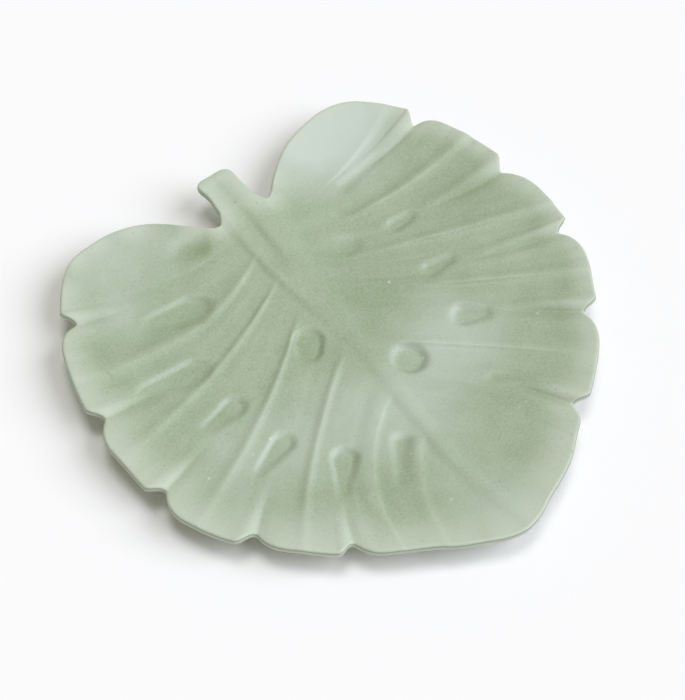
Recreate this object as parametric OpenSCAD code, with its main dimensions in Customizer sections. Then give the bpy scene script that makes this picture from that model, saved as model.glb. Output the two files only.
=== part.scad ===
// Leaf shaped stoneware plate: a pressed leaf blade, a short stem and a foot ring.
// The origin is on the table under the middle of the leaf, +Z is up, and +Y runs along the midrib
// to the stem. The tip points along -Y.

/* [Blade] */
// Length of the leaf from its tip to the backs of its rear lobes
leaf_len = 200; // [160:1:260]
// Thickness of the slab in the well
slab_t = 4.2; // [3.5:0.1:6]
// Thickness of the edge
edge_t = 3.6; // [3:0.1:4.5]
// How far the corners of the edge are rounded back
edge_round = 0.8; // [0.4:0.1:0.9]
// How far the rim stands above the well
rim_lift = 5.4; // [3:0.1:9]
// Depth of the notches between lobes, as a share of the pressed pattern
notch_share = 1; // [0.4:0.1:1.2]

/* [Relief] */
// Height of the side veins, as a share of the pressed pattern
vein_share = 1; // [0:0.1:1.4]
// Height of the midrib
midrib_h = 1.4; // [0:0.1:2]
// Depth of the channel along the base of the midrib
channel_d = 1.1; // [0:0.1:1.4]
// Depth of the hollows, as a share of the pressed pattern
hollow_share = 1; // [0:0.1:1.2]
// Scale of the lobes' section, which swells from each notch's groove to the next
groove_d = 1.1; // [0:0.1:1.4]

/* [Stem] */
// Width of the stem
stem_w = 17; // [14:0.5:18]
// Length of the stem
stem_len = 17.2; // [12:0.2:26]
// How far the stem climbs from its root to its end
stem_rise = 1.2; // [0:0.1:4]

/* [Foot] */
// Height of the foot ring
foot_h = 5; // [4:0.5:8]
// Outer diameter of the foot ring where it joins the blade
foot_d = 100; // [80:1:104]
// Width of the foot ring where it joins the blade
foot_w = 6; // [5:0.5:9]

/* [Hidden] */
glaze = [0.66, 0.73, 0.62];
bare_clay = [0.78, 0.70, 0.58];

// The plan is drawn for a leaf 200 mm long, and scaled to leaf_len
plan = leaf_len / 200;
// The outline is measured round this point on the midrib
mid_y = 1.8;
// The stem is luted to the blade along a straight seat
seat_y = 80.5;
seat_half = stem_w / 2 / plan;
seat_reach = norm([seat_half, seat_y - mid_y]);
well_z = foot_h + slab_t;
// The underside is flat to a little beyond the foot, and then rises to the edge
ledge = 4;
flat_r = foot_d / 2 + ledge;

// Reach of the outline at an angle from the stem, with the notches left out, on the +X side and on
// the -X side
CROWN = [
    [atan2(seat_half, seat_y - mid_y), seat_reach, seat_reach],
    [8.3, 75.6, 75.8], [10.5, 77.3, 77.3], [13.3, 83.5, 82.6], [19.5, 96.3, 98], [25, 104.9, 107.6],
    [30, 111.5, 113.2], [35, 114.8, 117.4], [40, 114.6, 117.2], [47, 113.1, 114.6], [54, 110.8, 112.5],
    [63, 107.6, 108.5], [72, 104.8, 105], [80, 103.4, 102.7], [90, 101, 100.1], [98, 99.9, 99.6],
    [104, 98.4, 98.4], [112, 95.5, 96.3], [120, 94, 93.6], [128, 92.5, 90.7], [140, 90.5, 89.9],
    [152, 90.8, 90.2], [160, 93.2, 92.2], [165, 95, 94.4], [174, 98.7, 98.6], [178, 100.1, 100.1],
    [180, 100.5, 100.5],
];
// The tip leans to one side, more and more between these distances from the middle
tip_lean = 2.2;
tip_leans = [45, 100];

// A spoke is a line from the midrib to the rim. Spokes are counted from 0 at the stem's seat to 6
// at the tip: each whole number between them is a notch, and each half is the vein of a lobe.
// Its angle at the rim is given on the +X side and on the -X side.
RIM_ANGLE = [
    [0, CROWN[0][0], CROWN[0][0]], [0.1, 8.3, 8.3], [0.2, 13, 13], [0.3, 22, 22], [0.4, 33, 33],
    [0.5, 42.5, 42.5], [1, 49.8, 49], [1.5, 60.8, 61.5], [2, 73.1, 72.7], [2.5, 87, 83.3], [3, 94.5, 95.3],
    [3.5, 106.6, 106.3], [4, 117.9, 119], [4.5, 130.5, 130.5], [5, 145.5, 142], [5.5, 154, 153],
    [6, 180, 180],
];
// Where a spoke leaves the midrib
ROOT = [
    [0, seat_y], [0.05, 76], [0.1, 72.5], [0.2, 70.5], [0.3, 69.7], [0.4, 69.1], [0.5, 68.5], [1, 66.8],
    [1.5, 62], [2, 55.5], [2.5, 48], [3, 42], [3.5, 34.5], [4, 20.5], [4.5, 6], [5, -7], [5.5, -21], [6, -76],
];
// How far a spoke sags towards the tip, as a share of its length, on the +X side and on the -X side
SAG = [
    [0, 0, 0], [0.05, 0.1, 0.1], [0.1, 0.21, 0.21], [0.2, 0.35, 0.35], [0.3, 0.38, 0.38], [0.4, 0.3, 0.3],
    [0.5, 0.18, 0.18], [1, 0.1, 0.12], [1.5, 0.17, 0.27], [2, 0.09, 0.18], [2.5, 0.055, 0.11],
    [3, 0.04, 0.11], [3.5, 0.015, 0.09], [4, -0.04, -0.02], [4.5, -0.04, -0.08], [5, -0.1, -0.18],
    [5.5, -0.15, -0.26], [6, 0, 0],
];
// A notch has a steep wall with a round nose on the stem's side and a long shoulder on the tip's side:
// its depth, and the length of its shoulder
NOTCHES = [[6.2, 0.3], [4.6, 0.4], [5, 0.4], [4.6, 0.4], [4.6, 0.45]];
notch_wall = 0.115;
nose_power = 1.6;
shoulder_power = 2.4;
// Side veins: spoke, side, height, the step where it starts, and half widths towards the stem and the tip.
// The last one is a short vein beside the tip.
VEINS = [
    [0.5, 1, 0.5, 0.35, 0.1, 0.07], [1.5, 1, 0.85, 0.3, 0.11, 0.06], [2.5, 1, 0.7, 0.3, 0.11, 0.06],
    [3.5, 1, 0.75, 0.35, 0.11, 0.06], [4.5, 1, 0.8, 0.1, 0.11, 0.055], [5.5, 1, 0.35, 0.06, 0.11, 0.02],
    [1.5, -1, 0.7, 0.05, 0.15, 0.06], [2.5, -1, 0.65, 0.05, 0.13, 0.06], [3.5, -1, 0.8, 0.08, 0.13, 0.06],
    [4.5, -1, 0.8, 0.04, 0.13, 0.06], [5.5, -1, 0.75, 0.04, 0.14, 0.018], [5.7, -1, 0.6, 0.04, 0.04, 0.015],
];
// A vein fades in over these steps of its spoke, and sinks to a share of its height at the rim
vein_fade = 0.25;
vein_sinks = [0.7, 1];
vein_end = 0.35;
// Section across a lobe near the rim, from one notch's groove to the next: it rises slowly from the first
// groove and drops steeply into the next
PANEL = [
    [0, -0.5], [0.08, -0.5], [0.25, -0.25], [0.5, 0], [0.7, 0.12], [0.84, 0.34], [0.9, 0.36], [0.95, 0.05],
    [0.985, -0.4], [1, -0.5],
];
// The section's scale on the +X and the -X side, and the steps of a spoke that it grows over. The rear
// lobe is plain up to its vein, and the last lobe is plain beyond its own.
PANEL_SCALE = [1.7, 1.5];
PANEL_GROWS = [[0.58, 0.98], [0.74, 1]];
panel_starts = [0.35, 0.5];
panel_stops = [5.5, 5.7];

// Midrib along the leaf: the middles of its left and its right flank, and its share of the height
MIDRIB = [
    [-100, 2, 7, 0.1], [-85, -0.2, 4.6, 0.35], [-70, -2.4, 2.6, 0.55], [-55, -3.2, 1.8, 0.65],
    [-40, -2.8, 2.4, 0.6], [-20, -1.6, 3.8, 0.48], [0, -0.8, 5.4, 0.4], [15, -2.4, 6.2, 0.46],
    [30, -4.4, 7, 0.65], [45, -6.6, 8, 0.85], [60, -8, 9, 0.97], [70, -8.8, 9.8, 1],
    [seat_y, -9.5, 10.5, 0.9],
];
left_flank = 4.6;
right_flank = 5.4;
CHANNEL_SHARE = [[-100, 0], [30, 0], [45, 0.2], [55, 0.8], [64, 1], [72, 0.75], [seat_y, 0.2]];
channel_half = 2.6;
channel_x = -0.8;

// Pressed hollows: head, its radius, tail, its radius, depth at the head and at the tail, width of the
// wall, and how many times wider its slope is on the side towards the tip
HOLLOWS = [
    [[-25, 76], 8.5, [-28, 76.5], 8.5, 0.9, 0.9, 8, 1], [[-41, 55.5], 6, [-58, 60.5], 3.4, 1.3, 0.5, 3, 1.7],
    [[-57, 32], 4.8, [-75, 33], 3.8, 1, 0.7, 3.2, 1.7], [[-52, 10], 4.6, [-62, 9], 3.2, 1.3, 0.9, 3, 1.2],
    [[-47, -13], 4.8, [-61, -19], 3, 1.3, 0.9, 3, 1.1], [[-33, -34], 6, [-42, -46], 3.4, 1.6, 0.4, 3.2, 1.2],
    [[-11.5, -41], 5.6, [-20, -51], 4.8, 1.3, 0.5, 3, 1.1],
    [[-13.5, 14], 7.6, [-12.5, 16], 7.6, 1.4, 1.4, 3.2, 1], [[26, 41], 6, [19, 45], 5.4, 0.7, 0.15, 3.4, 1],
    [[46, 37.5], 4.4, [53, 37.2], 3.8, 1.2, 1, 3.2, 1], [[45, 12.6], 4.8, [53, 11.8], 3.8, 1.2, 0.9, 3.4, 1],
    [[40, -11], 6, [47, -12.6], 5.4, 1.4, 1.2, 4.4, 1],
    [[13.2, -13.6], 7.6, [13.8, -14.4], 7.6, 1.8, 1.8, 3.4, 1],
    [[33, -40], 3.6, [38, -44], 2.6, 0.4, 0.2, 3, 1], [[41, 64], 4.4, [60, 67], 3.4, 0.6, 0.4, 4, 1],
];
// The wider slope comes in across a hollow's axis, by the sine of the way off it
slope_turns = [-0.7, 0.7];
// How sharply the dish turns up to its rim, and the underside to its edge
dish_power = 2.4;
under_power = 1.5;

// Spokes drawn in each lobe, close together at the notches and the veins
LOBE = [0, 0.035, 0.075, 0.12, 0.17, 0.25, 0.33, 0.41, 0.46, 0.5, 0.54, 0.6, 0.7, 0.8, 0.9, 0.935, 0.97];
REAR_LOBE = [0, 0.03, 0.06, 0.09, 0.12, 0.16, 0.2, 0.25, 0.3, 0.34, 0.37, 0.4];
TIP_LOBE = [
    0, 0.035, 0.075, 0.12, 0.2, 0.3, 0.4, 0.46, 0.5, 0.52, 0.55, 0.6, 0.65, 0.68, 0.7, 0.72, 0.76, 0.84, 0.92,
];
// Steps along a spoke, from the midrib to the rim
STEPS = [
    0, 0.025, 0.055, 0.09, 0.14, 0.2, 0.26, 0.32, 0.38, 0.44, 0.5, 0.56, 0.62, 0.68, 0.74, 0.8, 0.86, 0.91,
    0.96, 1,
];
// Steps of the underside from its flat to the edge
UNDER_STEPS = [0, 0.3, 0.6, 0.85, 1];
// The edge's section: how far each line of it stands back from the outline, and its height share
EDGE = [[0.35, 0.88], [0, 0.6], [0, 0.35], [0.4, 0.1]];

function ease(s) = let (c = min(max(s, 0), 1)) c * c * (3 - 2 * c);
function ramp(x, span) = ease((x - span[0]) / (span[1] - span[0]));
function bell(s) = exp(-s * s);
function mix(a, b, s) = a + (b - a) * s;
function total(list) = list * [for (i = list) 1];

// Smooth curve through the rows of a table
function row_at(table, x, i = 0) = i < len(table) - 2 && x > table[i + 1][0] ? row_at(table, x, i + 1) : i;
function slope_at(table, i, col) =
    let (before = table[max(i - 1, 0)], after = table[min(i + 1, len(table) - 1)])
    (after[col] - before[col]) / (after[0] - before[0]);
function curve(table, x, col = 1) =
    let (
        i = row_at(table, x),
        step = table[i + 1][0] - table[i][0],
        s = min(max((x - table[i][0]) / step, 0), 1)
    )
    mix(table[i][col], table[i + 1][col], ease(s))
    + s * (1 - s) * step * mix(slope_at(table, i, col), -slope_at(table, i + 1, col), s);

// Outline
function notch_dip(spoke) =
    let (
        k = round(spoke),
        off = spoke - k,
        notch = k < 1 || k > len(NOTCHES) ? [0, 1] : NOTCHES[k - 1],
        s = min(1, off < 0 ? -off / notch_wall : off / notch[1])
    )
    notch[0] * notch_share * (off < 0 ? pow(1 - s * s, nose_power) : pow(1 - s, shoulder_power));
function reach(angle, side) = curve(CROWN, max(angle, CROWN[0][0]), side > 0 ? 1 : 2);
function lean_at(y) = tip_lean * ramp(-y, tip_leans);
function rim_point(spoke, side) =
    let (
        angle = curve(RIM_ANGLE, spoke, side > 0 ? 1 : 2),
        r = reach(angle, side) - notch_dip(spoke),
        y = mid_y + r * cos(angle)
    )
    [r * sin(angle) * side + lean_at(y), y];

// Height of the pressed top surface, without and with its relief
function dish_z(p) =
    let (
        from_mid = [abs(p[0]), p[1] - mid_y],
        share = norm(from_mid) / reach(atan2(from_mid[0], from_mid[1]), p[0])
    )
    well_z + rim_lift * pow(share, dish_power);
function midrib_z(p) =
    midrib_h * curve(MIDRIB, p[1], 3)
    * ease((p[0] - curve(MIDRIB, p[1], 1)) / left_flank + 0.5)
    * ease((curve(MIDRIB, p[1], 2) - p[0]) / right_flank + 0.5)
    - channel_d * max(0, curve(CHANNEL_SHARE, p[1])) * bell((p[0] - channel_x) / channel_half);
function hollow_z(p, h) =
    let (
        along = h[2] - h[0],
        s = min(max((p - h[0]) * along / (along * along), 0), 1),
        off = p - h[0] - along * s,
        stemward = off[1] / max(norm(off), 0.1),
        away = norm(off) / mix(h[7], 1, ramp(stemward, slope_turns)),
        radius = mix(h[1], h[3], s)
    )
    -hollow_share * mix(h[4], h[5], s) * ease((radius - away) / min(radius, h[6]));
function vein_z(spoke, step, side) =
    vein_share * mix(1, vein_end, ramp(step, vein_sinks))
    * total([
        for (v = VEINS) if (v[1] == side)
            v[2] * bell((spoke - v[0]) / (spoke < v[0] ? v[4] : v[5])) * ramp(step, [v[3], v[3] + vein_fade])
    ]);
function panel_z(spoke, step, side) =
    let (i = side > 0 ? 0 : 1)
    groove_d * PANEL_SCALE[i] * curve(PANEL, spoke - floor(spoke)) * ramp(step, PANEL_GROWS[i])
    * ramp(spoke, panel_starts) * (1 - ramp(spoke, panel_stops));
function top_z(p, spoke, step, side) =
    dish_z(p) + midrib_z(p) + vein_z(spoke, step, side) + panel_z(spoke, step, side)
    + total([for (h = HOLLOWS) hollow_z(p, h)]);

// Columns of the pressed grid: one for each spoke, out along +X and back along -X
HALF = concat(
    REAR_LOBE,
    [for (f = LOBE) if (f > REAR_LOBE[len(REAR_LOBE) - 1]) f],
    [for (k = [1 : len(NOTCHES) - 1]) for (f = LOBE) k + f],
    [for (f = TIP_LOBE) len(NOTCHES) + f],
    [len(NOTCHES) + 1]
);
tip = len(HALF) - 1;
last = 2 * tip;
ends = len(STEPS) - 1;
function spoke_of(c) = HALF[min(c, last - c)];
function side_of(c) = c <= tip ? 1 : -1;

RIM = [for (c = [0 : last]) rim_point(spoke_of(c), side_of(c))];
function outward(c) =
    c == 0 ? [1, 0] : c == last ? [-1, 0] : let (t = RIM[c + 1] - RIM[c - 1]) [-t[1], t[0]] / norm(t);
OUT = [for (c = [0 : last]) outward(c)];

// Points along one spoke, which starts level with the rim's rounded corner
function spoke_point(c, step) =
    let (
        root_y = curve(ROOT, spoke_of(c)),
        root = [lean_at(root_y), root_y],
        end = RIM[c] - OUT[c] * edge_round / plan,
        chord = end - root,
        sag = curve(SAG, spoke_of(c), side_of(c) > 0 ? 1 : 2) * side_of(c),
        bend = (root + end) / 2 + [chord[1], -chord[0]] * sag
    )
    mix(mix(root, bend, step), mix(bend, end, step), step);
function at_height(p, z) = [p[0] * plan, p[1] * plan, z];
TOP = [
    for (c = [0 : last]) [
        for (s = STEPS) let (p = spoke_point(c, s)) at_height(p, top_z(p, spoke_of(c), s, side_of(c)))
    ]
];
function edge_point(c, line) =
    at_height(
        RIM[c] - OUT[c] * line[0] * edge_round / plan,
        TOP[c][ends][2] - edge_t * (1 - line[1])
    );
function under_point(c, s) =
    let (
        rim = RIM[c] * plan - OUT[c] * edge_round,
        flat = rim / norm(rim) * flat_r,
        p = mix(flat, rim, s)
    )
    [p[0], p[1], mix(foot_h, TOP[c][ends][2] - edge_t, pow(s, under_power))];
// From the rim's top corner, round the edge and in along the underside
UNDER = [
    for (c = [0 : last]) concat(
        [for (line = EDGE) edge_point(c, line)],
        [for (i = [1 : len(UNDER_STEPS)]) under_point(c, UNDER_STEPS[len(UNDER_STEPS) - i])]
    )
];
under_rows = len(UNDER[0]);

module leaf_blade() {
    // The midrib's points are shared by the two halves
    midrib = [for (c = [0 : tip]) TOP[c][0]];
    top_points = [for (c = [0 : last]) for (i = [1 : ends]) TOP[c][i]];
    under_points = [for (c = [0 : last]) for (p = UNDER[c]) p];
    function top_at(c, i) = i == 0 ? min(c, last - c) : tip + 1 + c * ends + i - 1;
    function under_at(c, i) = i < 0 ? top_at(c, ends) : len(midrib) + len(top_points) + c * under_rows + i;
    // The two halves are split into triangles the same way, mirrored
    top_faces = [
        for (c = [0 : last - 1]) for (i = [0 : ends - 1])
            let (a = top_at(c, i), b = top_at(c, i + 1), d = top_at(c + 1, i + 1), e = top_at(c + 1, i))
            each c < tip ? [[a, b, e], [b, d, e]] : [[a, b, d], [a, d, e]]
    ];
    under_faces = [
        for (c = [0 : last - 1]) for (i = [-1 : under_rows - 2]) each [
            [under_at(c, i), under_at(c, i + 1), under_at(c + 1, i + 1)],
            [under_at(c, i), under_at(c + 1, i + 1), under_at(c + 1, i)]
        ]
    ];
    // The strip under the stem, between the first and last columns
    seat_row = len(EDGE);
    strip_faces = [
        for (i = [seat_row : under_rows - 2]) each [
            [under_at(last, i), under_at(last, i + 1), under_at(0, i + 1)],
            [under_at(last, i), under_at(0, i + 1), under_at(0, i)]
        ]
    ];
    seat_face = concat(
        [for (i = [ends : -1 : 0]) top_at(0, i)],
        [for (i = [1 : ends]) top_at(last, i)],
        [for (i = [0 : seat_row]) under_at(last, i)],
        [for (i = [seat_row : -1 : 0]) under_at(0, i)]
    );
    flat_face = [for (c = [last : -1 : 0]) under_at(c, under_rows - 1)];
    color(glaze) polyhedron(
        concat(midrib, top_points, under_points),
        concat(top_faces, under_faces, strip_faces, [seat_face, flat_face])
    );
}

// The stem's sections repeat the blade's section at the seat, and narrow to a rounded end
STEM_STEPS = [0, 0.12, 0.26, 0.42, 0.58, 0.7, 0.78, 0.85, 0.91, 0.95, 0.975, 0.99];
// Share of the stem's length that its end is rounded over, how square that is in plan and in
// section, how far the stem narrows in its middle, and how far its end leans to one side
stem_round = 0.36;
plan_power = 3;
section_power = 4;
waist = 0.09;
stem_lean = -1.4;
SEAT_SECTION = concat(
    [for (i = [ends : -1 : 0]) TOP[last][i]],
    [for (i = [1 : ends]) TOP[0][i]],
    [for (i = [0 : len(EDGE)]) UNDER[0][i]],
    [for (i = [len(EDGE) : -1 : 0]) UNDER[last][i]]
);

module leaf_stem() {
    middle_z = TOP[0][ends][2] - edge_t / 2;
    sections = [
        for (s = STEM_STEPS)
            let (
                t = max(0, (s - 1 + stem_round) / stem_round),
                width = (1 - waist * pow(sin(180 * s), 2)) * pow(1 - pow(t, plan_power), 1 / plan_power),
                thick = sqrt(1 - pow(t, section_power)),
                lift = stem_rise * sin(90 * s)
            )
            [
                for (p = SEAT_SECTION)
                    [
                        p[0] * width + stem_lean * s * s,
                        p[1] + stem_len * s,
                        middle_z + (p[2] - middle_z) * thick + lift
                    ]
            ]
    ];
    sides = len(SEAT_SECTION);
    rings = len(sections);
    skin_faces = [
        for (j = [0 : rings - 2]) for (i = [0 : sides - 1]) let (n = (i + 1) % sides) each [
            [j * sides + i, (j + 1) * sides + n, j * sides + n],
            [j * sides + i, (j + 1) * sides + i, (j + 1) * sides + n]
        ]
    ];
    color(glaze) polyhedron(
        [for (ring = sections) each ring],
        concat(
            skin_faces,
            [[for (i = [0 : sides - 1]) i]],
            [[for (i = [1 : sides]) rings * sides - i]]
        )
    );
}

module foot_ring() {
    outer = foot_d / 2;
    inner = outer - foot_w;
    draft = 0.8;
    nose = 0.7;
    color(bare_clay) rotate_extrude($fn = 180) polygon([
        [inner, foot_h],
        [inner + draft, nose],
        [inner + draft + nose, 0],
        [outer - draft - nose, 0],
        [outer - draft, nose],
        [outer, foot_h],
    ]);
}

leaf_blade();
leaf_stem();
foot_ring();
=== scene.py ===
import math

import bmesh
import bpy
import numpy as np
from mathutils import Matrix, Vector


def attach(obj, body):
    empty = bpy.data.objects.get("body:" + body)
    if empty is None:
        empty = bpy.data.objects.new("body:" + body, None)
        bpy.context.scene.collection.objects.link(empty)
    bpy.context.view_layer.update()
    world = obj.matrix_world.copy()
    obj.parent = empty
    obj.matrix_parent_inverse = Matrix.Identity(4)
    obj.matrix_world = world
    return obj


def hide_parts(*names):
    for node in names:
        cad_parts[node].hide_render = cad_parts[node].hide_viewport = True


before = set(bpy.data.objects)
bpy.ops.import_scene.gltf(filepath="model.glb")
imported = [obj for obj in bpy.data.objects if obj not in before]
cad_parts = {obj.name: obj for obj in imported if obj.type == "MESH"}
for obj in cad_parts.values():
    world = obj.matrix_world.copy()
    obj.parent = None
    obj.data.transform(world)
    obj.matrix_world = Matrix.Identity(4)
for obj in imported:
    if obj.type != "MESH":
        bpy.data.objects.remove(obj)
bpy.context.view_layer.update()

# Sizes in millimetres, as the potter's pattern gives them
MM = 0.001
FOOT_HEIGHT = 5.0
FOOT_OUTER = 50.0
FOOT_WIDTH = 6.0
FOOT_FACETS = 180
FOOT_CREASE = math.radians(35)
# One side of the foot's section: how far in from its wall, and how high
FOOT_SIDE = [(-0.6, FOOT_HEIGHT), (0, 4.2), (0.8, 0.9), (1.0, 0.3), (1.5, 0)]
SLAB = 4.2
EDGE_THICK = 3.6
LIP = 1.15
LIP_POWER = 0.8
RIM_LIFT = 5.4
DISH_POWER = 2.4
UNDER_POWER = 1.5
FLAT_RADIUS = FOOT_OUTER + 4
WELL_Z = FOOT_HEIGHT + SLAB
MID_Y = 1.8
SEAT_Y = 80.5
TIP_SPOKE = 6
TIP_LEAN = 2.2
TIP_LEANS_OVER = (45, 100)
STEM_HALF = 8.5
STEM_LENGTH = 17.2
STEM_RISE = 1.2
STEM_LEAN = -1.4
STEM_WAIST = 0.09
# Share of the stem that is rounded off at its end, and where the last of its rings lies
STEM_ROUNDED = 0.36
STEM_RINGS = 44
STEM_CLOSES = 0.995
SEAT_REACH = math.hypot(STEM_HALF, SEAT_Y - MID_Y)
SEAT_ANGLE = math.degrees(math.atan2(STEM_HALF, SEAT_Y - MID_Y))

# Reach of the outline at an angle from the stem, with the notches left out, on the +X and -X sides
CROWN = [
    (SEAT_ANGLE, SEAT_REACH, SEAT_REACH),
    (8.3, 75.6, 75.8), (10.5, 77.3, 77.3), (13.3, 83.5, 82.6), (19.5, 96.3, 98), (25, 104.9, 107.4),
    (30, 111.5, 113), (35, 114.8, 117.4), (40, 114.6, 117.2), (47, 113.1, 114.6), (54, 110.8, 112.5),
    (63, 107.6, 108.5), (72, 104.8, 105), (80, 103.37, 102.7), (85, 102.15, 100.9), (90, 101, 100.1),
    (98, 99.9, 99.6), (104, 98.4, 98.4), (112, 95.5, 96.3), (120, 94, 93.6), (128, 92.5, 90.7),
    (140, 90.5, 89.9), (152, 90.2, 89.9), (160, 93.2, 91.2), (165, 94.7, 93.8), (171, 96.5, 96.5),
    (175, 98.8, 98.9), (178, 100.1, 100.1), (180, 100.5, 100.5),
]

# Spokes run from the midrib to the rim: whole numbers are notches, halves are veins
# Where each spoke meets the rim: its angle from the stem on the +X and -X sides
RIM_ANGLE = [
    (0, SEAT_ANGLE, SEAT_ANGLE), (0.1, 8.3, 8.3), (0.2, 13, 13), (0.3, 22, 22), (0.4, 33, 33),
    (0.5, 42.5, 42.5), (1, 49.8, 49), (1.5, 61.5, 61.5), (2, 73.1, 72.7), (2.5, 87, 83.3),
    (3, 94.5, 95.3), (3.5, 106.6, 106.3), (4, 117.9, 119), (4.5, 130.5, 130.5), (5, 145.5, 142),
    (5.5, 154, 153), (TIP_SPOKE, 180, 180),
]
# Where each spoke leaves the midrib
SPOKE_ROOT = [
    (0, SEAT_Y), (0.05, 76), (0.1, 72.5), (0.2, 70.5), (0.3, 69.7), (0.4, 69.1), (0.5, 68.5), (1, 66.8),
    (1.5, 62), (2, 55.5), (2.5, 48), (3, 42), (3.5, 34.5), (4, 20.5), (4.5, 6), (5, -7), (5.5, -21),
    (TIP_SPOKE, -76),
]
# How far each spoke is pulled towards the tip halfway, as a share of its length, on the +X and -X sides
SPOKE_SAG = [
    (0, 0, 0), (0.05, 0.1, 0.1), (0.1, 0.21, 0.21), (0.2, 0.35, 0.35), (0.3, 0.38, 0.38),
    (0.4, 0.3, 0.3), (0.5, 0.18, 0.18), (1, 0.1, 0.12), (1.5, 0.17, 0.27), (2, 0.09, 0.18),
    (2.5, 0.03, 0.11), (3, 0.1, 0.11), (3.5, 0.015, 0.09), (4, -0.04, -0.02), (4.5, -0.04, -0.08),
    (5, -0.1, -0.18), (5.5, -0.15, -0.26), (TIP_SPOKE, 0, 0),
]
# Notches: depth, and how much of a lobe the gentle side takes
NOTCHES = [(6.2, 0.3), (5.2, 0.4), (5.6, 0.4), (5.5, 0.4), (5.1, 0.45)]
# How much of a lobe the steep side takes, and the power of each side's curve
NOTCH_WALL = 0.135
NOTCH_STEEP = 2
NOTCH_GENTLE = 2.4
# The rim's corners are smoothed over these lengths, but not right beside the stem's seat
RIM_SMOOTH = 0.8
RIM_FREE = 3
OUTWARD_SMOOTH = 1.4
OUTWARD_FREE = 4

# Veins: spoke, side, height, the step where it starts, and half widths towards the stem and the tip
VEINS = [
    (0.5, 1, 0.5, 0.35, 0.08, 0.06), (1.5, 1, 0.95, 0.3, 0.08, 0.05), (2.5, 1, 0.7, 0.3, 0.08, 0.05),
    (3.5, 1, 0.75, 0.35, 0.08, 0.05), (4.5, 1, 0.8, 0.1, 0.08, 0.05), (5.5, 1, 0.35, 0.06, 0.11, 0.02),
    (1.5, -1, 0.7, 0.05, 0.1, 0.065), (2.5, -1, 0.65, 0.05, 0.09, 0.065),
    (3.5, -1, 0.8, 0.08, 0.09, 0.065), (4.5, -1, 0.8, 0.04, 0.09, 0.065),
    (5.5, -1, 0.8, 0, 0.11, 0.018), (5.7, -1, 0.6, 0.04, 0.04, 0.015),
]
# On each side, a vein fades in over a length of steps and sinks to a share of its height at the rim
VEIN_FADES_IN = {1: 0.25, -1: 0.15}
VEIN_END = {1: 0.6, -1: 0.35}
VEIN_SINKS = (0.7, 1)

# Section across a lobe near the rim, from one notch's groove to the next
PANEL = [
    (0, -0.5), (0.05, -0.34), (0.12, -0.16), (0.25, -0.04), (0.5, 0), (0.7, 0.04), (0.84, 0.14),
    (0.91, 0.32), (0.945, 0.28), (0.97, -0.05), (0.988, -0.4), (1, -0.5),
]
GROOVE = 1.1
# On each side, how strong that section is at the rim and the steps over which it comes in
PANEL_GROWS = {1: (1.7, 0.58, 0.98), -1: (1.5, 0.74, 1)}
# It comes in after the stem and goes out before the tip
PANEL_COMES = (0.35, 0.5)
PANEL_GOES = (5.5, 5.7)

# Midrib along the leaf: the middle of its left flank and of its right flank, and its share of the height
MIDRIB = [
    (-100, 2, 7, 0.1), (-85, -0.2, 4.6, 0.35), (-70, -2.4, 2.6, 0.55), (-55, -3.2, 1.8, 0.65),
    (-40, -2.8, 2.4, 0.6), (-20, -1.6, 3.8, 0.48), (0, -0.8, 5.4, 0.4), (15, -2.4, 6.2, 0.46),
    (30, -4.4, 7, 0.65), (45, -6.6, 8, 0.85), (60, -8, 9, 0.97), (70, -8.8, 9.8, 1),
    (SEAT_Y, -9.5, 10.5, 0.9),
]
RIB_HEIGHT = 1.4
RIB_LEFT_FLANK = 4.6
RIB_RIGHT_FLANK = 5.4
CHANNEL_SHARE = [(-100, 0), (30, 0), (45, 0.2), (55, 0.8), (64, 1), (72, 0.75), (SEAT_Y, 0.2)]
CHANNEL = 1.1
CHANNEL_HALF = 2.6
CHANNEL_X = -0.8

# Pressed hollows: head, its radius, tail, its radius, depth at the head and at the tail, width of
# the wall, and how many times wider the slope is on the side towards the tip
HOLLOWS = [
    ((-25, 76), 8.5, (-28, 76.5), 8.5, 0.9, 0.9, 8, 1),
    ((-41, 55), 5.2, (-57, 57.8), 3.4, 1.4, 0.6, 2.6, 2.2),
    ((-56, 31.6), 4.3, (-76, 33.2), 3.6, 1.2, 0.7, 2.5, 2.4),
    ((-52.8, 9.2), 4.5, (-65, 7), 3.2, 1.4, 0.7, 2.6, 1.6),
    ((-47, -14.4), 4.8, (-60.5, -19.6), 3, 1.4, 0.8, 2.7, 1.4),
    ((-33, -34), 6, (-42, -46), 3.4, 1.6, 0.4, 3.2, 1.2),
    ((-11.5, -41), 5.4, (-22, -54), 3.4, 1.1, 0.3, 4.4, 1.2),
    ((-13.2, 15), 7.3, (-15.2, 11.8), 6.5, 1.4, 1.4, 3.2, 1),
    ((26, 41), 6, (19, 45), 5.4, 0.7, 0.15, 3.4, 1),
    ((46, 37.5), 4.4, (53, 37.2), 3.8, 1.2, 1, 3.2, 1),
    ((45, 12.6), 4.8, (53, 11.8), 3.8, 1.2, 0.9, 3.4, 1),
    ((42, -11.4), 6.2, (48.5, -15.6), 4.6, 1.6, 1.1, 3.6, 1),
    ((13.2, -13.6), 7.6, (13.8, -14.4), 7.6, 1.8, 1.8, 3.4, 1),
    ((33, -40), 3.6, (38, -44), 2.6, 0.4, 0.2, 3, 1),
    ((41, 64), 4.4, (60, 67), 3.4, 0.6, 0.4, 4, 1),
]
# Round a hollow, from -1 on the side of the tip to 1 on the side of the stem: over which part the
# slope gets steep and the painted highlight on the wall comes in
SLOPE_TURNS = (-0.7, 0.7)
HIGHLIGHT_TURNS = (-0.4, 1.1)
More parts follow.
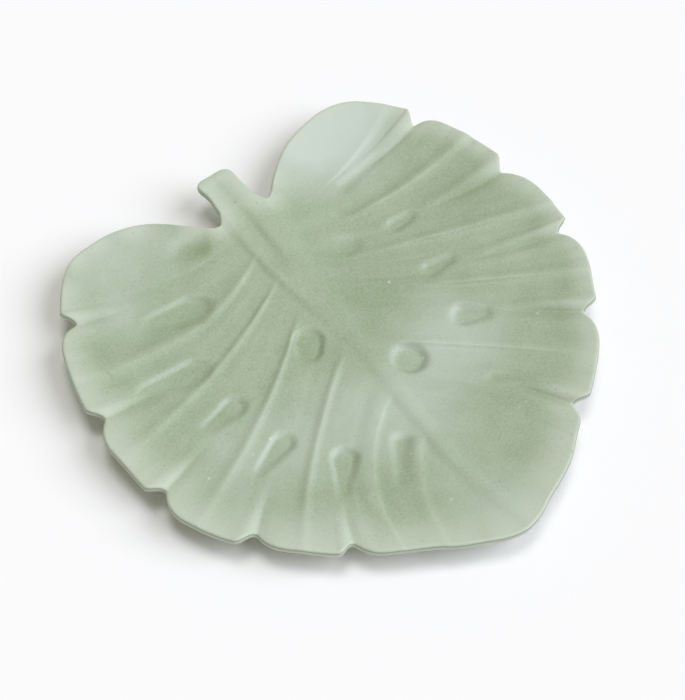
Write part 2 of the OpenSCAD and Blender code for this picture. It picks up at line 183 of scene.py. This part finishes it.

# Patches of painted sheen, pale bluish colour where the window's reflection would lie: middle, where it
# starts to fade, where it ends, and how strong it is
PAINTED_SHEEN_PATCHES = [
    ((50, 97), 12, 48, 1.1), ((-54, 96), 6, 44, 0.45), ((31, -18), 2, 32, 0.6), ((0, -32), 2, 32, 0.45),
    ((-28, -20), 2, 34, 0.4), ((-62, -16), 2, 34, 0.35), ((-2, 98), 6, 22, 0.3),
    ((-66, 64), 2, 18, 0.25), ((5, -93), 4, 26, 0.35), ((-58, -58), 4, 22, 0.3),
    ((-4, -68), 2, 26, 0.2),
]
# Strength of the painted highlight on the stemward wall of each hollow, where the window lamp lights it
WALL_HIGHLIGHT_STRENGTH = 0.26
# How much of the painted sheen the floor of a hollow loses
SHEEN_LOST_IN_HOLLOW = 0.4
# Patches of painted shade, such as the stem's shadow beside its base, told in the same way
PAINTED_SHADE_PATCHES = [
    ((-22, 75.5), 1, 9, 1.5), ((18, 28), 2, 26, 0.7), ((26, 2), 1, 14, 0.5), ((76, 24), 2, 16, 0.6),
    ((-62, 42), 2, 14, 0.6), ((-55, 67), 2, 14, 0.5), ((72, -44), 2, 14, 0.6), ((94, 2), 1, 9, 0.9),
]
# How much it thins on raised forms and pools in sunk ones
THIN_VEIN = 0.9
THIN_RIB = 0.5
THIN_CREST = 1.2
POOL_HOLLOW = 0.3
POOL_GROOVE = 0.9
POOL_CHANNEL = 0.6
# The pale band along the rim, where the glaze thins, widened by painted sheen towards the left of
# the tip: its width, which grows there, and how much of it a groove takes away
BAND_NARROW = 11
BAND_WIDE = 20
BAND_WIDE_TOWARDS = (-0.6, -0.8)
BAND_GROWS = (-0.5, 0.7)
BAND_LOST_IN_GROOVE = 0.3
# One in so many points of the rim is enough to tell how far in a place lies
RIM_SAMPLE = 8
# A dark line round the lip: its place and half width in the turn of the lip, and how
# strong it is
LIP_LINE_AT = 0.32
LIP_LINE_HALF = 0.12
LIP_LINE_STRENGTH = 3.5
# The band ends on the underside, and along the stem it widens over this part of the length
UNDER_INSET = 3
STEM_BAND = (0.5, 0.95)

# Spokes of the pressed grid in each lobe and steps along a spoke, split finely further on
LOBE = [0, 0.035, 0.075, 0.12, 0.17, 0.25, 0.33, 0.41, 0.46, 0.5, 0.54, 0.6, 0.7, 0.8, 0.9, 0.935, 0.97]
REAR_LOBE = [0, 0.03, 0.06, 0.09, 0.12, 0.16, 0.2, 0.25, 0.3, 0.34, 0.37, 0.4]
TIP_LOBE = [
    0, 0.035, 0.075, 0.12, 0.2, 0.3, 0.4, 0.46, 0.5, 0.52, 0.55, 0.6, 0.65, 0.68, 0.7, 0.72, 0.76, 0.84,
    0.92,
]
STEPS = [
    0, 0.025, 0.055, 0.09, 0.14, 0.2, 0.26, 0.32, 0.38, 0.44, 0.5, 0.56, 0.62, 0.68, 0.74, 0.8, 0.86,
    0.91, 0.96, 1,
]
SPOKE_SPLIT = 4
STEP_SPLIT = 4
LIP_RINGS = 10
UNDER_RINGS = 10
# In metres, points of a seam nearer than this become one
MIDRIB_SEAM = 0.00001
FOOT_SEAM = 0.000005
# A face belongs to the seat if it stands this upright and lies this near to it, in metres
SEAT_UPRIGHT = 0.99
SEAT_NEAR = 0.00001

# Linear colours of the glaze, the clay and the table
GLAZE_DEEP = (0.231, 0.306, 0.17, 1)
GLAZE_LIGHT = (0.447, 0.535, 0.418, 1)
# Pale bluish colour of the painted sheen and the painted highlights on hollow walls
GLAZE_PAINTED_SHEEN = (0.54, 0.62, 0.55, 1)
GLAZE_CREST = (0.58, 0.635, 0.53, 1)
# Pale rim colour: thin glaze at the edge, and painted sheen where the band widens
GLAZE_RIM_AND_SHEEN = (0.56, 0.63, 0.52, 1)
GLAZE_LIP_LINE = (0.13, 0.18, 0.1, 1)
GLAZE_SPECK = (0.16, 0.21, 0.11, 1)
GLAZE_PINHOLE = (0.72, 0.74, 0.6, 1)
CLAY_DARK = (0.50, 0.40, 0.285, 1)
CLAY_LIGHT = (0.60, 0.50, 0.37, 1)
CLAY_SAND = (0.38, 0.29, 0.19, 1)
CLAY_SPECK = (0.16, 0.11, 0.07, 1)
TABLE_WHITE = (0.97, 0.97, 0.97, 1)
TABLE_HALF = 4

# Camera: what it looks at and how far it stands off in metres, and the way to it, level and up
TARGET = Vector((-0.0065, 0.00185, 0.014))
CAMERA_AWAY = 0.76
CAMERA_SIDE = (-0.599, -0.8007)
CAMERA_LEVEL = 0.5105
CAMERA_UP = 0.8599
FOCAL_PIXELS = 2000
PICTURE_PIXELS = 700
SENSOR = 36

# Light: the ways to the right and the back of the picture, and the room
TO_RIGHT = Vector((0.80, -0.60, 0))
TO_BACK = Vector((0.60, 0.80, 0))
TO_SKY = Vector((0, 0, 1))
ROOM_COLOUR = (1.06, 1.01, 0.83, 1)
ROOM_LIGHT = 0.28


def ease(s):
    c = np.clip(s, 0, 1)
    return c * c * (3 - 2 * c)


def ramp(x, low, high):
    return ease((x - low) / (high - low))


def bell(s):
    return np.exp(-s * s)


def mix(a, b, s):
    return a + (b - a) * s


def curve(table, x, col=1):
    """A smooth curve through the rows of a table, from its first column to another."""
    rows = np.array(table, float)
    keys = rows[:, 0]
    vals = rows[:, col]
    before = np.maximum(np.arange(len(keys)) - 1, 0)
    after = np.minimum(np.arange(len(keys)) + 1, len(keys) - 1)
    slopes = (vals[after] - vals[before]) / (keys[after] - keys[before])
    x = np.clip(x, keys[0], keys[-1])
    i = np.clip(np.searchsorted(keys, x) - 1, 0, len(keys) - 2)
    step = keys[i + 1] - keys[i]
    s = (x - keys[i]) / step
    bow = s * (1 - s) * step * mix(slopes[i], -slopes[i + 1], s)
    return mix(vals[i], vals[i + 1], ease(s)) + bow


def two_sided(table, x, side):
    return np.where(side > 0, curve(table, x, 1), curve(table, x, 2))


def split(knots, parts):
    places = np.linspace(0, len(knots) - 1, (len(knots) - 1) * parts + 1)
    return np.interp(places, np.arange(len(knots)), knots)


def notch_dip(spoke):
    k = np.rint(spoke).astype(int)
    off = spoke - k
    table = np.array([(0, 1)] + NOTCHES + [(0, 1)], float)
    depth = table[k, 0]
    s = np.minimum(1, np.where(off < 0, -off / NOTCH_WALL, off / table[k, 1]))
    return depth * np.where(off < 0, (1 - s * s) ** NOTCH_STEEP, (1 - s) ** NOTCH_GENTLE)


def reach(angle, side):
    return two_sided(CROWN, np.maximum(angle, SEAT_ANGLE), side)


def tip_lean(y):
    return TIP_LEAN * ramp(-y, *TIP_LEANS_OVER)


def patches_at(patches, x, y):
    total = 0
    for middle, near, far, share in patches:
        total = total + share * (1 - ramp(np.hypot(x - middle[0], y - middle[1]), near, far))
    return total


def smooth_along(values, along, width):
    weight = bell((along[:, None] - along[None, :]) / width)
    return weight @ values / weight.sum(1)[:, None]


def unit(rows):
    return rows / np.linalg.norm(rows, axis=1)[:, None]


# Outline
half_knots = REAR_LOBE + [f for f in LOBE if f > REAR_LOBE[-1]]
half_knots += [k + f for k in range(1, len(NOTCHES)) for f in LOBE]
half_knots += [len(NOTCHES) + f for f in TIP_LOBE] + [TIP_SPOKE]
half_spokes = split(half_knots, SPOKE_SPLIT)
spokes = np.concatenate([half_spokes, half_spokes[-2::-1]])
tip_column = len(half_spokes) - 1
last_column = len(spokes) - 1
sides = np.where(np.arange(len(spokes)) <= tip_column, 1, -1)
steps = split(STEPS, STEP_SPLIT)
last_step = len(steps) - 1

rim_angle = np.radians(two_sided(RIM_ANGLE, spokes, sides))
rim_reach = reach(np.degrees(rim_angle), sides) - notch_dip(spokes)
sharp_rim = np.stack([rim_reach * np.sin(rim_angle) * sides, MID_Y + rim_reach * np.cos(rim_angle)], 1)
sharp_rim[:, 0] += tip_lean(sharp_rim[:, 1])
stride = np.linalg.norm(np.diff(sharp_rim, axis=0), axis=1)
along_rim = np.concatenate([[0], np.cumsum(stride)])
off_seat = np.minimum(along_rim, along_rim[-1] - along_rim)[:, None]
rim = mix(sharp_rim, smooth_along(sharp_rim, along_rim, RIM_SMOOTH), ramp(off_seat, 0, RIM_FREE))
tangent = np.gradient(rim, axis=0)
outward = unit(np.stack([-tangent[:, 1], tangent[:, 0]], 1))
outward = smooth_along(outward, along_rim, OUTWARD_SMOOTH)
outward = unit(mix(np.stack([sides, 0 * sides], 1), outward, ramp(off_seat, 0, OUTWARD_FREE)))

# Pressed top: every spoke sags a little on its way from the midrib to the rim
root_y = curve(SPOKE_ROOT, spokes)
root = np.stack([tip_lean(root_y), root_y], 1)
end = rim - outward * LIP
chord = end - root
sag = two_sided(SPOKE_SAG, spokes, sides) * sides
bend = (root + end) / 2 + np.stack([chord[:, 1], -chord[:, 0]], 1) * sag[:, None]
t = steps[None, :, None]
plan = mix(mix(root[:, None], bend[:, None], t), mix(bend[:, None], end[:, None], t), t)
px = plan[:, :, 0]
py = plan[:, :, 1]
spoke_grid = np.repeat(spokes[:, None], len(steps), 1)
step_grid = np.repeat(steps[None, :], len(spokes), 0)
side_grid = np.repeat(sides[:, None], len(steps), 1)

from_mid = np.hypot(px, py - MID_Y)
rim_share = from_mid / reach(np.degrees(np.arctan2(np.abs(px), py - MID_Y)), px)
dish = WELL_Z + RIM_LIFT * rim_share ** DISH_POWER
rib = RIB_HEIGHT * curve(MIDRIB, py, 3)
rib = rib * ease((px - curve(MIDRIB, py, 1)) / RIB_LEFT_FLANK + 0.5)
rib = rib * ease((curve(MIDRIB, py, 2) - px) / RIB_RIGHT_FLANK + 0.5)
channel = CHANNEL * np.maximum(0, curve(CHANNEL_SHARE, py)) * bell((px - CHANNEL_X) / CHANNEL_HALF)

veins = np.zeros_like(px)
for spoke, side, height, start, stemward, tipward in VEINS:
    off = spoke_grid - spoke
    ridge = bell(off / np.where(off < 0, stemward, tipward))
    ridge = ridge * ramp(step_grid, start, start + VEIN_FADES_IN[side])
    veins += height * ridge * (side_grid == side)
veins = veins * mix(1, np.where(side_grid > 0, VEIN_END[1], VEIN_END[-1]), ramp(step_grid, *VEIN_SINKS))

panel = curve(PANEL, spoke_grid - np.floor(spoke_grid))
for side, (strength, low, high) in PANEL_GROWS.items():
    panel = panel * np.where(side_grid == side, strength * ramp(step_grid, low, high), 1)
panel = panel * ramp(spoke_grid, *PANEL_COMES) * (1 - ramp(spoke_grid, *PANEL_GOES))

sunk = np.zeros_like(px)
wall_highlight_mask = np.zeros_like(px)
for head, head_r, tail, tail_r, head_deep, tail_deep, wall, gentle in HOLLOWS:
    lean = np.array(tail, float) - head
    s = np.clip(((px - head[0]) * lean[0] + (py - head[1]) * lean[1]) / (lean @ lean), 0, 1)
    radius = mix(head_r, tail_r, s)
    depth = mix(head_deep, tail_deep, s)
    stemward = py - head[1] - lean[1] * s
    away = np.hypot(px - head[0] - lean[0] * s, stemward)
    turn = stemward / np.maximum(away, 0.1)
    off = away / mix(gentle, 1, ramp(turn, *SLOPE_TURNS))
    fall = ease((radius - off) / np.minimum(radius, wall))
    sunk += depth * fall
    # Painted highlight: the middle of the stemward wall of each hollow
    wall_highlight_mask += depth * 4 * fall * (1 - fall) * ramp(turn, *HIGHLIGHT_TURNS)
relief = rib - channel + veins + GROOVE * panel - sunk
top_z = dish + relief

# Marks for the glaze: thin on crests, pooled in hollows and grooves, painted shade in patches, painted
# sheen and highlights in places, the way in from the rim, and the lobe and the way along it for the
# brush
crest = np.maximum(panel, 0)
groove = np.maximum(-panel, 0)
thin_mark = np.clip(THIN_VEIN * veins + THIN_RIB * rib / RIB_HEIGHT + THIN_CREST * crest, 0, 1)
pool_and_shade_mark = np.clip(POOL_HOLLOW * sunk + POOL_GROOVE * groove + POOL_CHANNEL * channel / CHANNEL, 0, 1)
# Painted shade: dark patches added to the glaze's pooling
pool_and_shade_mark += patches_at(PAINTED_SHADE_PATCHES, px, py)
rim_mark = np.min(np.linalg.norm(plan[:, :, None, :] - rim[None, None, ::RIM_SAMPLE, :], axis=3), axis=2)
# The band widens towards the left of the tip, where painted sheen lies
to_wide = (BAND_WIDE_TOWARDS[0] * px + BAND_WIDE_TOWARDS[1] * py) / np.maximum(from_mid, 1)
rim_mark = rim_mark / mix(BAND_NARROW, BAND_WIDE, ramp(to_wide, *BAND_GROWS))
rim_mark += BAND_LOST_IN_GROOVE * groove
# Painted sheen: pale patches that stand in for the window's reflection, weaker on the floors of hollows
painted_sheen_mark = patches_at(PAINTED_SHEEN_PATCHES, px, py) * (1 - SHEEN_LOST_IN_HOLLOW * np.clip(sunk - wall_highlight_mask, 0, 1))
# Painted highlight on the lit stemward wall of each hollow
painted_sheen_mark += WALL_HIGHLIGHT_STRENGTH * np.clip(wall_highlight_mask, 0, 1)
lobe_mark = np.where(side_grid > 0, spoke_grid, 2 * TIP_SPOKE - spoke_grid)
MARKS = {
    "thin": thin_mark, "pool_and_shade": pool_and_shade_mark, "inset": rim_mark, "painted_sheen": painted_sheen_mark, "lobe": lobe_mark,
    "along": step_grid,
}

# The blade's edge runs along the rim and back over the stem's seat
loop_column = [0] * last_step + list(range(last_column + 1)) + [last_column] * (last_step - 1)
loop_step = list(range(last_step)) + [last_step] * (last_column + 1) + list(range(last_step - 1, 0, -1))
loop_column = np.array(loop_column)
loop_step = np.array(loop_step)
on_seat = loop_step < last_step
loop_top = np.stack([grid[loop_column, loop_step] for grid in (px, py, top_z)], 1)
loop_rim = np.where(on_seat[:, None], loop_top[:, :2], rim[loop_column])
loop_out = np.where(on_seat[:, None], 0, outward[loop_column])
loop_under = np.where(on_seat, top_z[0, last_step], loop_top[:, 2]) - EDGE_THICK


def lip_ring(share):
    """Points of the rounded lip, from the top at 0 to the underside at 1."""
    turn = math.pi * share
    back = LIP * (1 - math.sin(turn) ** LIP_POWER)
    drop = (1 - math.copysign(abs(math.cos(turn)) ** LIP_POWER, math.cos(turn))) / 2
    flat = loop_rim - loop_out * back
    return np.column_stack([flat, mix(loop_top[:, 2], loop_under, drop)])


def under_ring(share):
    """Points of the underside, from the lip at 0 to the flat round the foot at 1."""
    edge = loop_rim - loop_out * LIP
    flat = mix(edge, unit(edge) * FLAT_RADIUS, share)
    rise = (1 - share) ** UNDER_POWER
    return np.column_stack([flat, mix(FOOT_HEIGHT, loop_under, rise)])


def smooth_skin(bm):
    bmesh.ops.recalc_face_normals(bm, faces=bm.faces)
    for face in bm.faces:
        face.smooth = True


def finish_piece(bm, name, node, material):
    mesh = bpy.data.meshes.new(name)
    bm.to_mesh(mesh)
    bm.free()
    mesh.materials.append(material)
    piece = bpy.data.objects.new(name, mesh)
    bpy.context.scene.collection.objects.link(piece)
    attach(piece, "root")
    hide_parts(node)
    return piece


def extrude_ring(bm, edges, key, places):
    grown = bmesh.ops.extrude_edge_only(bm, edges=edges)["geom"]
    verts = [g for g in grown if isinstance(g, bmesh.types.BMVert)]
    for v in verts:
        v.co = Vector(places[v[key]]) * MM
    fresh = set(verts)
    return verts, [g for g in grown if isinstance(g, bmesh.types.BMEdge) and fresh.issuperset(g.verts)]


class Wire:
    """One value in a material. Sums on it add Math nodes, and node() adds any other kind."""

    def __init__(self, tree, socket=None):
        self.tree = tree
        self.socket = socket

    def node(self, kind, settings, sockets, out=0):
        made = self.tree.nodes.new(kind)
        for name, value in settings.items():
            setattr(made, name, value)
        for name, value in sockets.items():
            if isinstance(value, Wire):
                self.tree.links.new(value.socket, made.inputs[name])
            else:
                made.inputs[name].default_value = value
        return Wire(self.tree, made.outputs[out] if made.outputs else None)

    def sum(self, operation, first, second):
        return self.node("ShaderNodeMath", {"operation": operation}, {0: first, 1: second})

    def __add__(self, other):
        return self.sum("ADD", self, other)

    __radd__ = __add__

    def __sub__(self, other):
        return self.sum("SUBTRACT", self, other)

    def __rsub__(self, other):
        return self.sum("SUBTRACT", other, self)

    def __mul__(self, other):
        return self.sum("MULTIPLY", self, other)

    __rmul__ = __mul__

    def between(self, low, high):
        """0 at low, 1 at high and smooth between them."""
        return self.node("ShaderNodeMapRange", {"interpolation_type": "SMOOTHSTEP"},
                         {"Value": self, "From Min": low, "From Max": high})

    def clamp(self):
        return self.node("ShaderNodeClamp", {}, {"Value": self})

    def blend(self, under, over):
        """A colour that goes from under to over as this value goes from 0 to 1."""
        return self.node("ShaderNodeMix", {"data_type": "RGBA"}, {"Factor": self, 6: under, 7: over}, 2)


def new_material(name):
    material = bpy.data.materials.new(name)
    material.use_nodes = True
    material.node_tree.nodes.clear()
    return material, Wire(material.node_tree)


def noise(wire, place, scale, detail=2.0, rough=0.5):
    return wire.node("ShaderNodeTexNoise", {},
                     {"Vector": place, "Scale": scale, "Detail": detail, "Roughness": rough}, "Fac")


def specks(wire, place, scale, share, size):
    """Round specks in some of the cells, each with a size of its own."""
    near = wire.node("ShaderNodeTexVoronoi", {}, {"Vector": place, "Scale": scale}, "Distance")
    cell = wire.node("ShaderNodeTexVoronoi", {}, {"Vector": place, "Scale": scale}, "Color")
    chance = wire.node("ShaderNodeSeparateColor", {}, {"Color": cell}, "Red")
    girth = wire.node("ShaderNodeSeparateColor", {}, {"Color": cell}, "Green")
    spread = near - size * scale * (0.5 + girth)
    return (1 - spread.between(-0.06, 0.06)) * chance.between(1 - share, 1.01 - share)


def sage_glaze():
    material, wire = new_material("sage_glaze")
    place = wire.node("ShaderNodeTexCoord", {}, {}, "Object")
    mark = {}
    for name in MARKS:
        mark[name] = wire.node("ShaderNodeAttribute", {"attribute_name": name}, {}, "Fac")
    painted_sheen = mark["painted_sheen"]
    drift = noise(wire, place, scale=22, detail=3)
    cloud = noise(wire, place, scale=110, detail=4)
    grain = noise(wire, place, scale=1100, detail=3, rough=0.6)

    # Tone of the glaze: drifts, clouds and grain, brush streaks along the lobes, thin crests, pools and
    # patches of painted shade
    brush = wire.node("ShaderNodeCombineXYZ", {}, {"X": 4 * mark["lobe"], "Y": 1.6 * mark["along"]})
    streak = (noise(wire, brush, scale=1, detail=3) - 0.5) * mark["along"].between(0.02, 0.3)
    crest = (mark["thin"] + 0.5 * (cloud - 0.5)).between(0.25, 1.15)
    tone = 0.42 + 0.45 * (drift - 0.5) + 0.4 * (cloud - 0.5) + 0.85 * (0.5 - grain)
    # Darker where the glaze pools and where shade is painted
    tone = tone + 0.6 * streak + 0.2 * crest - 0.22 * mark["pool_and_shade"]
    colour = tone.clamp().blend(GLAZE_DEEP, GLAZE_LIGHT)

    # Painted sheen and highlights, pale crests, the pale rim with its painted sheen, and the dark line
    # round the lip
    rim_band_and_sheen = 1 - (mark["inset"] + 0.4 * (cloud - 0.5)).between(0.05, 1)
    # Painted sheen and painted highlights, blended in as pale bluish glaze colour
    colour = (painted_sheen + 0.3 * painted_sheen * (cloud - 0.5)).blend(colour, GLAZE_PAINTED_SHEEN)
    colour = (0.3 * crest).blend(colour, GLAZE_CREST)
    # Pale rim band: thinner glaze at the edge, with painted sheen where it widens
    colour = (0.72 * rim_band_and_sheen).blend(colour, GLAZE_RIM_AND_SHEEN)
    colour = (0.6 * mark["pool_and_shade"].between(1.8, 3.4)).blend(colour, GLAZE_LIP_LINE)

    # Specks, which the painted sheen covers, and pinholes
    showing = 1 - 0.85 * painted_sheen.clamp()
    pepper = specks(wire, place, scale=420, share=0.35, size=0.00022)
    dust = specks(wire, place, scale=880, share=0.4, size=0.00018)
    pinhole = specks(wire, place, scale=105, share=0.3, size=0.0003)
    colour = (0.55 * pepper * showing).blend(colour, GLAZE_SPECK)
    colour = (0.4 * dust * showing).blend(colour, GLAZE_SPECK)
    colour = (0.75 * pinhole).blend(colour, GLAZE_PINHOLE)

    rough = 0.4 + 0.12 * cloud + 0.06 * grain
    height = 0.3 * grain + noise(wire, place, scale=420, detail=2)
    normal = wire.node("ShaderNodeBump", {}, {"Strength": 0.12, "Distance": 0.0003, "Height": height})
    surface = wire.node("ShaderNodeBsdfPrincipled", {},
                        {"Base Color": colour, "Roughness": rough, "Normal": normal, "IOR": 1.5})
    wire.node("ShaderNodeOutputMaterial", {}, {"Surface": surface})
    return material


def bare_stoneware():
    material, wire = new_material("bare_stoneware")
    place = wire.node("ShaderNodeTexCoord", {}, {}, "Object")
    cloud = noise(wire, place, scale=90, detail=4)
    sand = noise(wire, place, scale=1600, detail=3, rough=0.65)
    iron = specks(wire, place, scale=330, share=0.3, size=0.0003)
    colour = cloud.between(0.3, 0.7).blend(CLAY_DARK, CLAY_LIGHT)
    colour = (0.5 * sand.between(0.5, 0.75)).blend(colour, CLAY_SAND)
    colour = (0.6 * iron).blend(colour, CLAY_SPECK)
    normal = wire.node("ShaderNodeBump", {}, {"Strength": 0.35, "Distance": 0.0004, "Height": sand})
    surface = wire.node("ShaderNodeBsdfPrincipled", {},
                        {"Base Color": colour, "Roughness": 0.75 + 0.15 * sand, "Normal": normal})
    wire.node("ShaderNodeOutputMaterial", {}, {"Surface": surface})
    return material


def add_layers(bm):
    marks = {name: bm.verts.layers.float.new(name) for name in MARKS}
    return marks, bm.verts.layers.int.new("loop_place")


def crease_seat(bm):
    """The face where blade and stem meet keeps sharp edges."""
    upright = [f for f in bm.faces if abs(f.normal.y) > SEAT_UPRIGHT]
    seat = {f for f in upright if abs(f.calc_center_median().y - SEAT_Y * MM) < SEAT_NEAR}
    for e in bm.edges:
        if sum(f in seat for f in e.link_faces) == 1:
            e.smooth = False


def make_blade(material):
    bm = bmesh.new()
    bmesh.ops.create_grid(bm, x_segments=last_column, y_segments=last_step, size=0.5)
    marks, key = add_layers(bm)
    place_of = {(c, s): i for i, (c, s) in enumerate(zip(loop_column, loop_step))}
    midrib = []
    for v in bm.verts:
        c = round((v.co.x + 0.5) * last_column)
        s = round((v.co.y + 0.5) * last_step)
        v.co = Vector((px[c, s], py[c, s], top_z[c, s])) * MM
        for name, grid in MARKS.items():
            v[marks[name]] = grid[c, s]
        v[key] = place_of.get((c, s), -1)
        if s == 0:
            v[key] = 0
            midrib.append(v)
    bmesh.ops.remove_doubles(bm, verts=midrib, dist=MIDRIB_SEAM)
    edges = [e for e in bm.edges if e.is_boundary]
    for share in np.arange(1, LIP_RINGS + 1) / LIP_RINGS:
        verts, edges = extrude_ring(bm, edges, key, lip_ring(share))
        for v in verts:
            v[marks["inset"]] = 0
            v[marks["pool_and_shade"]] = LIP_LINE_STRENGTH * bell((share - LIP_LINE_AT) / LIP_LINE_HALF)
    for share in np.arange(1, UNDER_RINGS + 1) / UNDER_RINGS:
        verts, edges = extrude_ring(bm, edges, key, under_ring(share))
        for v in verts:
            v[marks["inset"]] = UNDER_INSET * share
            v[marks["along"]] = 1 - share
            for name in ("painted_sheen", "thin", "pool_and_shade"):
                v[marks[name]] = 0
    bmesh.ops.edgeloop_fill(bm, edges=edges)
    smooth_skin(bm)
    crease_seat(bm)
    return finish_piece(bm, "leaf_blade_skin", "leaf_blade", material)


def seat_section():
    """The blade's section at the seat, once round: along the top, down one edge and back below."""
    top_left = [(px[last_column, s], top_z[last_column, s]) for s in range(last_step, 0, -1)]
    top_right = [(px[0, s], top_z[0, s]) for s in range(last_step + 1)]
    corner_right = int(np.flatnonzero((loop_column == 0) & ~on_seat)[0])
    corner_left = int(np.flatnonzero((loop_column == last_column) & ~on_seat)[0])
    rings = [lip_ring(i / LIP_RINGS) for i in range(1, LIP_RINGS + 1)]
    right = [(ring[corner_right][0], ring[corner_right][2]) for ring in rings]
    left = [(ring[corner_left][0], ring[corner_left][2]) for ring in reversed(rings)]
    return np.array(top_left + top_right + right + left)


def stem_ring(section, s):
    """Points of the stem's skin at a share of its length: it narrows, leans, rises and rounds off."""
    middle = top_z[0, last_step] - EDGE_THICK / 2
    turn = max(0.0, (s - 1 + STEM_ROUNDED) / STEM_ROUNDED)
    width = (1 - STEM_WAIST * math.sin(math.pi * s) ** 2) * (1 - turn ** 3) ** (1 / 3)
    thick = math.sqrt(1 - turn ** 4)
    lift = STEM_RISE * math.sin(math.pi / 2 * s)
    return np.column_stack([
        section[:, 0] * width + STEM_LEAN * s * s,
        np.full(len(section), SEAT_Y + STEM_LENGTH * s),
        middle + (section[:, 1] - middle) * thick + lift,
    ])


def make_stem(material):
    section = seat_section()
    bm = bmesh.new()
    bmesh.ops.create_circle(bm, segments=len(section), radius=0.01)
    marks, key = add_layers(bm)
    off_middle = np.abs(section[:, 0])
    at_seat = {name: np.interp(off_middle, px[0], MARKS[name][0]) for name in ("thin", "pool_and_shade", "inset")}
    bm.verts.ensure_lookup_table()
    for i, v in enumerate(bm.verts):
        v.co = Vector((section[i, 0], SEAT_Y, section[i, 1])) * MM
        v[key] = i
        for name, values in at_seat.items():
            v[marks[name]] = values[i]
        v[marks["painted_sheen"]] = patches_at(PAINTED_SHEEN_PATCHES, section[i, 0], SEAT_Y)
    edges = list(bm.edges)
    bmesh.ops.edgeloop_fill(bm, edges=edges)
    for s in np.sin(np.linspace(0, math.pi / 2, STEM_RINGS + 1))[1:] * STEM_CLOSES:
        ring = stem_ring(section, s)
        verts, edges = extrude_ring(bm, edges, key, ring)
        for v in verts:
            i = v[key]
            v[marks["painted_sheen"]] = patches_at(PAINTED_SHEEN_PATCHES, ring[i, 0], ring[i, 1])
            v[marks["inset"]] = at_seat["inset"][i] * (1 - ramp(s, *STEM_BAND))
    bmesh.ops.edgeloop_fill(bm, edges=edges)
    smooth_skin(bm)
    crease_seat(bm)
    return finish_piece(bm, "leaf_stem_skin", "leaf_stem", material)


def make_foot(material):
    inner = FOOT_OUTER - FOOT_WIDTH
    profile = [(inner + inset, z) for inset, z in FOOT_SIDE]
    profile += [(FOOT_OUTER - inset, z) for inset, z in reversed(FOOT_SIDE)]
    bm = bmesh.new()
    verts = [bm.verts.new(Vector((r, 0, z)) * MM) for r, z in profile]
    edges = [bm.edges.new(pair) for pair in zip(verts, verts[1:] + verts[:1])]
    bmesh.ops.spin(bm, geom=verts + edges, cent=(0, 0, 0), axis=(0, 0, 1), angle=2 * math.pi,
                   steps=FOOT_FACETS, use_merge=True)
    bmesh.ops.remove_doubles(bm, verts=bm.verts, dist=FOOT_SEAM)
    smooth_skin(bm)
    for e in bm.edges:
        if len(e.link_faces) == 2 and e.calc_face_angle() > FOOT_CREASE:
            e.smooth = False
    return finish_piece(bm, "foot_ring_skin", "foot_ring", material)


def make_floor():
    material, wire = new_material("white_table")
    surface = wire.node("ShaderNodeBsdfDiffuse", {}, {"Color": TABLE_WHITE})
    wire.node("ShaderNodeOutputMaterial", {}, {"Surface": surface})
    bm = bmesh.new()
    bmesh.ops.create_grid(bm, x_segments=1, y_segments=1, size=TABLE_HALF)
    mesh = bpy.data.meshes.new("table")
    bm.to_mesh(mesh)
    bm.free()
    mesh.materials.append(material)
    table = bpy.data.objects.new("table", mesh)
    bpy.context.scene.collection.objects.link(table)


def make_camera():
    towards = Vector((CAMERA_LEVEL * CAMERA_SIDE[0], CAMERA_LEVEL * CAMERA_SIDE[1], CAMERA_UP))
    lens = bpy.data.cameras.new("camera")
    lens.sensor_fit = "AUTO"
    lens.sensor_width = SENSOR
    lens.lens = FOCAL_PIXELS / PICTURE_PIXELS * SENSOR
    camera = bpy.data.objects.new("camera", lens)
    camera.location = TARGET + CAMERA_AWAY * towards
    camera.rotation_euler = (-towards).to_track_quat("-Z", "Y").to_euler()
    bpy.context.scene.collection.objects.link(camera)
    bpy.context.scene.camera = camera


def add_lamp(name, strength, spread, colour, towards):
    lamp = bpy.data.lights.new(name, "SUN")
    lamp.energy = strength
    lamp.angle = math.radians(spread)
    lamp.color = colour
    holder = bpy.data.objects.new(name, lamp)
    holder.rotation_euler = (-towards).to_track_quat("-Z", "Y").to_euler()
    bpy.context.scene.collection.objects.link(holder)


def make_light():
    add_lamp("window", strength=2.1, spread=48, colour=(0.955, 0.98, 1.11),
             towards=TO_RIGHT * 0.72 - TO_BACK * 0.1 + TO_SKY * 0.68)
    add_lamp("skylight", strength=0.85, spread=22, colour=(0.98, 0.99, 1.0),
             towards=TO_BACK * 0.12 + TO_SKY * 0.99)
    world = bpy.data.worlds.new("room")
    world.use_nodes = True
    world.node_tree.nodes.clear()
    wire = Wire(world.node_tree)
    ray = wire.node("ShaderNodeLightPath", {}, {}, "Is Camera Ray")
    gloss = wire.node("ShaderNodeLightPath", {}, {}, "Is Glossy Ray")
    clear = wire.node("ShaderNodeLightPath", {}, {}, "Is Transmission Ray")
    seen = (ray + gloss + clear).between(0, 1)
    strength = ROOM_LIGHT + (1 - ROOM_LIGHT) * seen
    surface = wire.node("ShaderNodeBackground", {}, {"Color": ROOM_COLOUR, "Strength": strength})
    wire.node("ShaderNodeOutputWorld", {}, {"Surface": surface})
    bpy.context.scene.world = world


glaze = sage_glaze()
make_camera()
make_blade(glaze)
make_stem(glaze)
make_foot(bare_stoneware())
make_floor()
make_light()
bpy.context.scene.view_settings.view_transform = "Standard"
